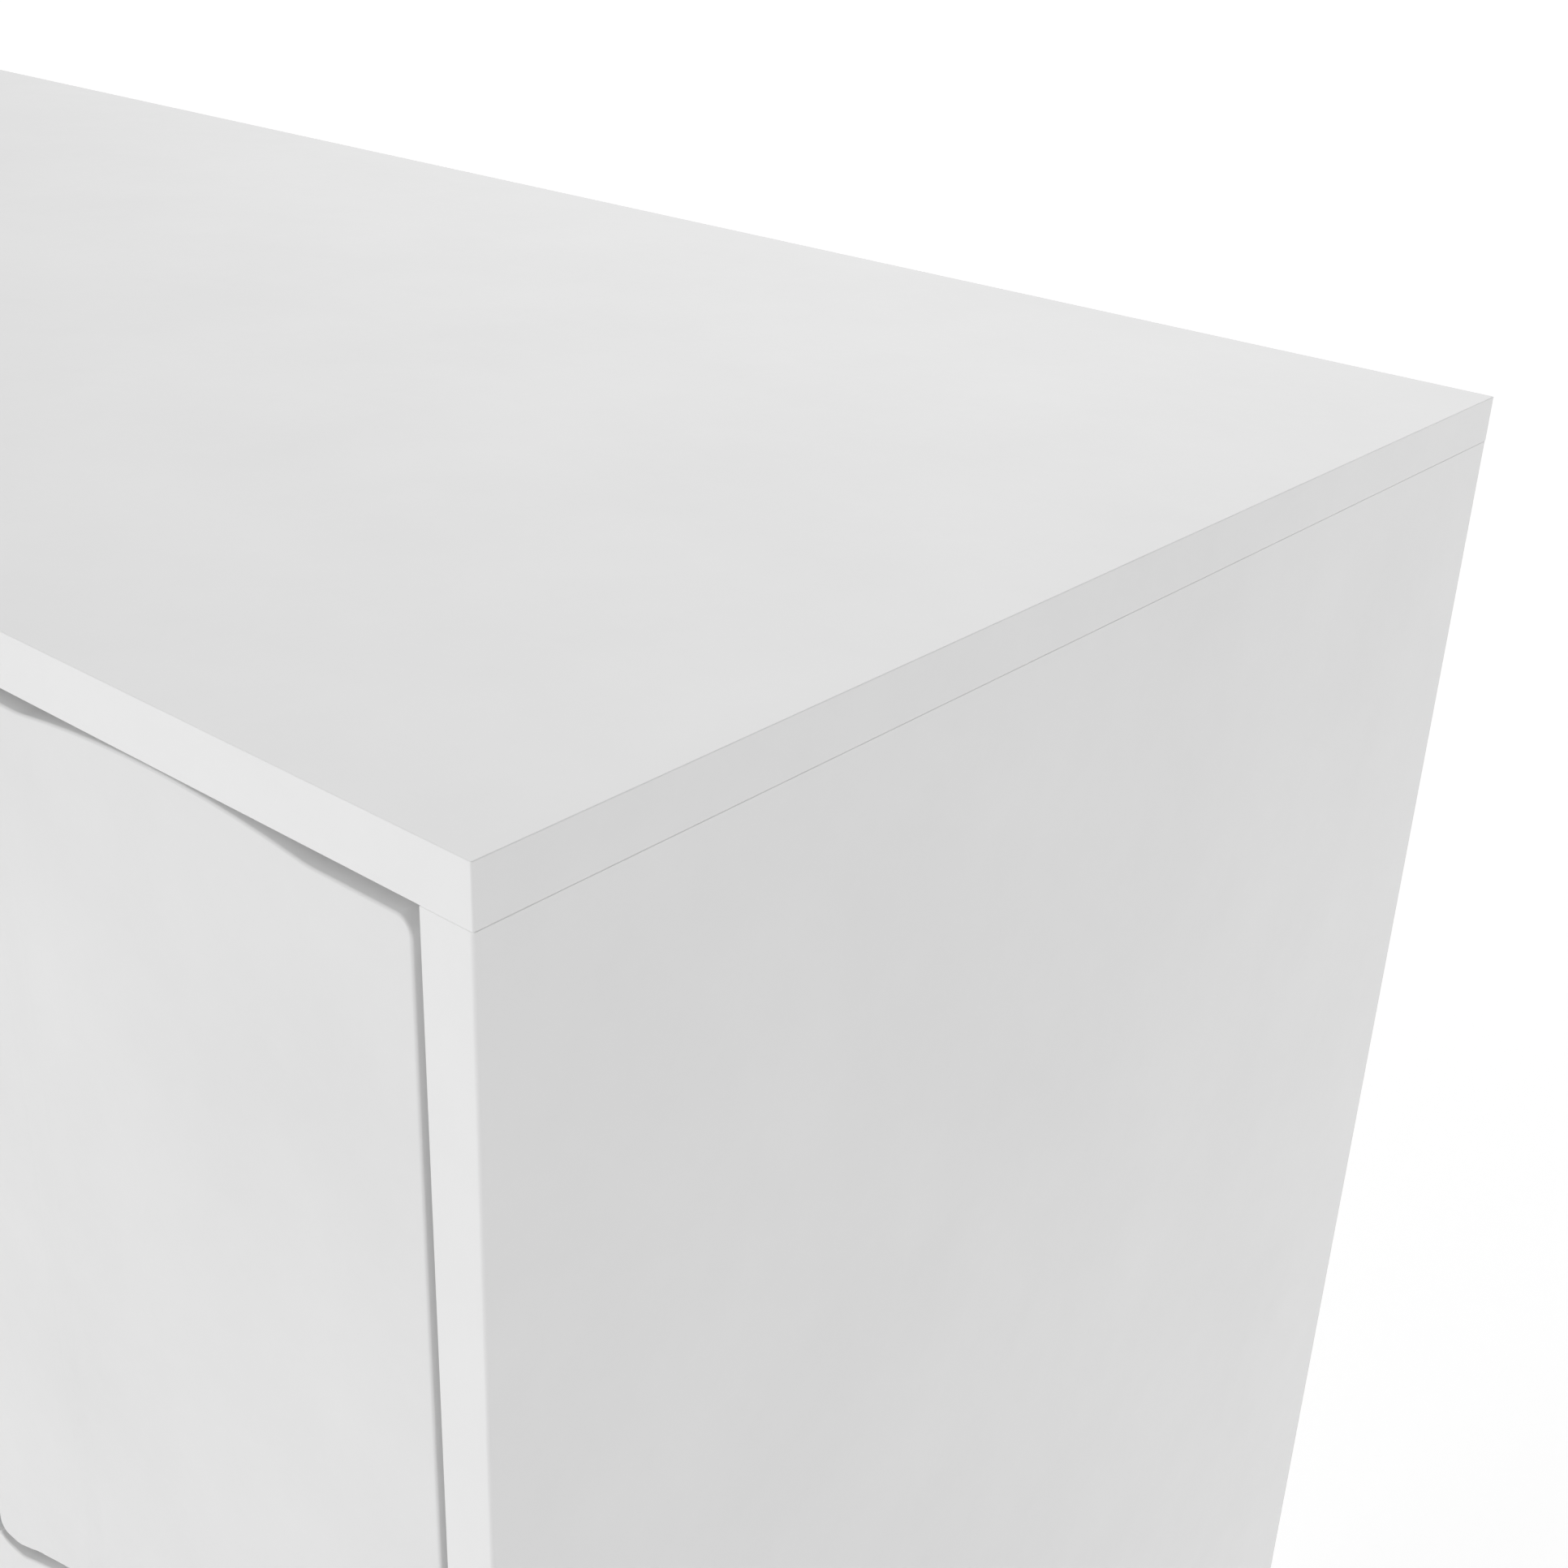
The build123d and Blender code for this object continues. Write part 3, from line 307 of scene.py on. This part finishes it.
def lathe(mesh, place, profile, steps=32):
    """Adds a turned shape; profile is (radius, height) in millimetres, from the axis to the axis again."""
    rings = []
    for radius, height in ((radius * MM, height * MM) for radius, height in profile):
        if radius == 0:
            rings.append([mesh.verts.new(place @ Vector((0, 0, height)))])
            continue
        turns = [2 * math.pi * step / steps for step in range(steps)]
        points = [Vector((radius * math.cos(t), radius * math.sin(t), height)) for t in turns]
        rings.append([mesh.verts.new(place @ point) for point in points])
    for lower, upper in zip(rings[:-1], rings[1:]):
        for step in range(steps):
            after = (step + 1) % steps
            corners = [lower[step % len(lower)], lower[after % len(lower)]]
            corners += [upper[after % len(upper)], upper[step % len(upper)]]
            mesh.faces.new(list(dict.fromkeys(corners)))


def cross_drive(mesh, place, radius, depth):
    """Adds a closed plug whose top carries a cross-shaped recess for a screwdriver."""
    arm, half = radius * CROSS_ARM, radius * CROSS_HALF_WIDTH
    quarter = [(arm, -half), (arm, half), (half, half)]
    outline = []
    for turn in range(4):
        rotation = Matrix.Rotation(turn * math.pi / 2, 3, "Z")
        outline += [rotation @ Vector((x, y, 0)) for x, y in quarter]
    rim = [point * (radius / point.length) for point in outline]
    cross_floor = Vector((0, 0, -depth))
    plug_floor = cross_floor * PLUG_DEPTH
    cross_top = [mesh.verts.new(place @ point) for point in outline]
    cross_low = [mesh.verts.new(place @ (point * CROSS_TAPER + cross_floor)) for point in outline]
    rim_top = [mesh.verts.new(place @ point) for point in rim]
    rim_low = [mesh.verts.new(place @ (point + plug_floor)) for point in rim]
    count = len(outline)
    for step in range(count):
        after = (step + 1) % count
        mesh.faces.new((cross_top[step], cross_top[after], rim_top[after], rim_top[step]))
        mesh.faces.new((cross_low[step], cross_low[after], cross_top[after], cross_top[step]))
        mesh.faces.new((rim_top[step], rim_top[after], rim_low[after], rim_low[step]))
    mesh.faces.new(cross_low)
    mesh.faces.new(rim_low)


def place_at(point, outward):
    """Placement whose Z axis points outward at a point."""
    return Matrix.Translation(point) @ outward.to_track_quat("Z", "Y").to_matrix().to_4x4()


def add_piece(name, body, slot, mesh, smooth=True):
    """Turns a bmesh into a piece that rides on a body and takes a slot's finish."""
    bmesh.ops.recalc_face_normals(mesh, faces=mesh.faces)
    data = bpy.data.meshes.new(name)
    mesh.to_mesh(data)
    mesh.free()
    piece = bpy.data.objects.new(name, data)
    bpy.context.scene.collection.objects.link(piece)
    data.materials.append(materials[slot])
    if smooth:
        data.shade_smooth()
        data.set_sharp_from_angle(angle=SHARP_ANGLE)
    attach(piece, body)


def cup_screw_drives():
    """Cross recesses in the heads of the screws that hold the hinge cups."""
    radius, depth, below = CUP_SCREW_PLUG
    for body in frame["bodies"]:
        if not body.endswith("_door"):
            continue
        mesh = bmesh.new()
        for center, low, high in separate_boxes(f"{body}_cup_screws"):
            top = Vector((center.x, high.y - below, center.z))
            cross_drive(mesh, place_at(top, Vector((0, 1, 0))), radius, depth)
        add_piece(f"{body}_cup_screw_drives", body, "zinc_steel", mesh)


def away_from_board(x):
    """Direction along X in which a hinge on a side panel or a divider faces."""
    outer = abs(x) > pair_middle
    return Vector((-1 if (x > 0) == outer else 1, 0, 0))


def plate_screw_drives():
    """Cross recesses in the heads of the screws that hold the hinge plates."""
    radius, depth, below = PLATE_SCREW_PLUG
    mesh = bmesh.new()
    for center, low, high in separate_boxes("hinge_plate_screws"):
        outward = away_from_board(center.x)
        head = low.x if outward.x < 0 else high.x
        top = Vector((head, center.y, center.z)) - outward * below
        cross_drive(mesh, place_at(top, outward), radius, depth)
    add_piece("hinge_plate_screw_drives", "cabinet", "zinc_steel", mesh)


def arm_adjusters():
    """Two adjusting screws on each hinge arm, domed, with cross recesses."""
    mesh = bmesh.new()
    for center, low, high in separate_boxes("hinge_arms"):
        outward = away_from_board(center.x)
        seat = high.x if outward.x < 0 else low.x
        for from_end in ADJUSTERS_FROM_END:
            base = Vector((seat, high.y - from_end, center.z)) + outward * ARM_SHEET
            place = place_at(base, outward)
            lathe(mesh, place, ADJUSTER_PROFILE)
            cross_drive(mesh, place @ Matrix.Translation((0, 0, ADJUSTER_PLUG_LEVEL)), *ADJUSTER_PLUG)
    add_piece("hinge_arm_adjusters", "cabinet", "zinc_steel", mesh)


def cam_caps():
    """White snap-in caps over the cam fasteners."""
    mesh = bmesh.new()
    divider_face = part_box("right_divider")[1].x
    for center, low, high in separate_boxes("cam_locks"):
        size = high - low
        if size.x < size.z:
            in_divider = abs(center.x) < divider_face
            outward = Vector((1 if (center.x > 0) == in_divider else -1, 0, 0))
            face = high.x if outward.x > 0 else low.x
            point = Vector((face, center.y, center.z))
        else:
            outward = Vector((0, 0, -1))
            point = Vector((center.x, center.y, low.z))
        lathe(mesh, place_at(point + outward * CAM_BELOW_BOARD, outward), CAP_PROFILE)
    add_piece("cam_caps", "cabinet", "white_plastic", mesh)


def foot_grips():
    """Ribbed band round each levelling foot, to turn it by hand."""
    mesh = bmesh.new()
    for center, low, high in separate_boxes("feet"):
        radius = (high.x - low.x) / 2
        hidden = radius - BAND_BURIED
        bottom, top = (low.z + level for level in BAND_LEVELS)
        rings = []
        for step in range(RIB_COUNT * RIB_STEPS):
            angle = 2 * math.pi * step / (RIB_COUNT * RIB_STEPS)
            reach = radius + BAND_PROUD + RIB_DEPTH * (1 + math.cos(angle * RIB_COUNT)) / 2
            across = Vector((math.cos(angle), math.sin(angle), 0))
            column = []
            for distance, level in ((hidden, bottom), (reach, bottom), (reach, top), (hidden, top)):
                point = Vector((center.x, center.y, level)) + across * distance
                column.append(mesh.verts.new(point))
            rings.append(column)
        for column, after in zip(rings, rings[1:] + rings[:1]):
            for corner in range(4):
                beside = (corner + 1) % 4
                mesh.faces.new((column[corner], after[corner], after[beside], column[beside]))
    add_piece("foot_grips", "cabinet", "foot_plastic", mesh, smooth=False)


# Half the distance between the middles of the left and right door pairs
arms_from_middle = [abs(center.x) for center, low, high in separate_boxes("hinge_arms")]
pair_middle = sum(arms_from_middle) / len(arms_from_middle)

cup_screw_drives()
plate_screw_drives()
arm_adjusters()
cam_caps()
foot_grips()


# Studio ---------------------------------------------------------------------------------------

FLOOR_SIZE = 40.0
FLOOR_BELOW_FEET = 0.2 * MM
FLOOR_WHITE = (0.9, 0.9, 0.9, 1)
FLOOR_ROUGHNESS = 0.9
FLOOR_SPECULAR = 0.1
FLOOR_GLOW = 0.455
# Soft lights all round: where each one's middle is, how tightly it is gathered there, its strength
SOFT_LIGHTS = (
    ((-0.5, -1, 0.4), 3, 1.34),
    ((-0.8, 1, 0.4), 3, 0.88),
    ((0, 1, 0.25), 2, 0.42),
    ((-1, 0, 0.25), 2, 0.12),
    ((0, -1, 0.25), 2, 0.06),
    ((-0.7, 0, 1), 4, 0.54),
    ((0, 0.7, 1), 4, 0.56),
)
FILL_LIGHT = 0.01
HIGH_KEY_GAMMA = 1.4


def studio_floor():
    """Plain pale floor."""
    level = cad_box[0].z - FLOOR_BELOW_FEET
    bpy.ops.mesh.primitive_plane_add(size=FLOOR_SIZE, location=(0, 0, level))
    floor = bpy.context.object
    floor.name = "studio_floor"
    material, tree, shader = new_material("studio_floor")
    socket(shader, "Base Color", FLOOR_WHITE)
    socket(shader, "Roughness", FLOOR_ROUGHNESS)
    socket(shader, "Specular IOR Level", FLOOR_SPECULAR)
    socket(shader, "Emission Color", (1, 1, 1, 1))
    socket(shader, "Emission Strength", FLOOR_GLOW)
    floor.data.materials.append(material)


def math_node(tree, operation, first, second):
    """Node that combines two values, each a number or another node's output."""
    node = tree.nodes.new("ShaderNodeMath")
    node.operation = operation
    for entry, value in zip(node.inputs, (first, second)):
        if isinstance(value, (int, float)):
            entry.default_value = value
        else:
            tree.links.new(value, entry)
    return node.outputs["Value"]


def studio_world():
    """White where the camera sees it; as a light, broad soft glows that fade into each other."""
    world = bpy.data.worlds.new("studio")
    bpy.context.scene.world = world
    world.use_nodes = True
    tree = world.node_tree
    tree.nodes.clear()
    output = tree.nodes.new("ShaderNodeOutputWorld")
    seen = tree.nodes.new("ShaderNodeBackground")
    socket(seen, "Color", (1, 1, 1, 1))
    lighting = tree.nodes.new("ShaderNodeBackground")
    coordinates = tree.nodes.new("ShaderNodeTexCoord")
    total = FILL_LIGHT
    for middle, gathering, strength in SOFT_LIGHTS:
        towards = tree.nodes.new("ShaderNodeVectorMath")
        towards.operation = "DOT_PRODUCT"
        towards.inputs[1].default_value = Vector(middle).normalized()
        tree.links.new(coordinates.outputs["Generated"], towards.inputs[0])
        facing = math_node(tree, "MAXIMUM", towards.outputs["Value"], 0.0)
        glow = math_node(tree, "MULTIPLY", math_node(tree, "POWER", facing, gathering), strength)
        total = math_node(tree, "ADD", total, glow)
    path = tree.nodes.new("ShaderNodeLightPath")
    mix = tree.nodes.new("ShaderNodeMixShader")
    tree.links.new(total, lighting.inputs["Strength"])
    tree.links.new(path.outputs["Is Camera Ray"], mix.inputs["Fac"])
    tree.links.new(lighting.outputs["Background"], mix.inputs[1])
    tree.links.new(seen.outputs["Background"], mix.inputs[2])
    tree.links.new(mix.outputs["Shader"], output.inputs["Surface"])


# The camera is to the right of the top's front right corner, in front of it and above it
LENS = 48.76
SENSOR = 36.0
CLIP_START = 0.01
CLIP_END = 100.0
CAMERA_FROM_CORNER = Vector((0.2581, -0.2273, 0.1855))
LOOK = Vector((-0.5672, 0.6952, -0.4416))
UP = Vector((-0.3118, 0.3150, 0.8964))


def studio_camera():
    low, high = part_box("top_panel")
    corner = Vector((high.x, low.y, high.z))
    data = bpy.data.cameras.new("camera")
    data.lens = LENS
    data.sensor_width = SENSOR
    data.clip_start = CLIP_START
    data.clip_end = CLIP_END
    camera = bpy.data.objects.new("camera", data)
    bpy.context.scene.collection.objects.link(camera)
    back = -LOOK.normalized()
    right = UP.cross(back).normalized()
    up = back.cross(right)
    turn = Matrix((right, up, back)).transposed().to_4x4()
    camera.matrix_world = Matrix.Translation(corner + CAMERA_FROM_CORNER) @ turn
    bpy.context.scene.camera = camera


studio_floor()
studio_world()
studio_camera()
bpy.context.scene.view_settings.view_transform = "Standard"
bpy.context.scene.view_settings.gamma = HIGH_KEY_GAMMA
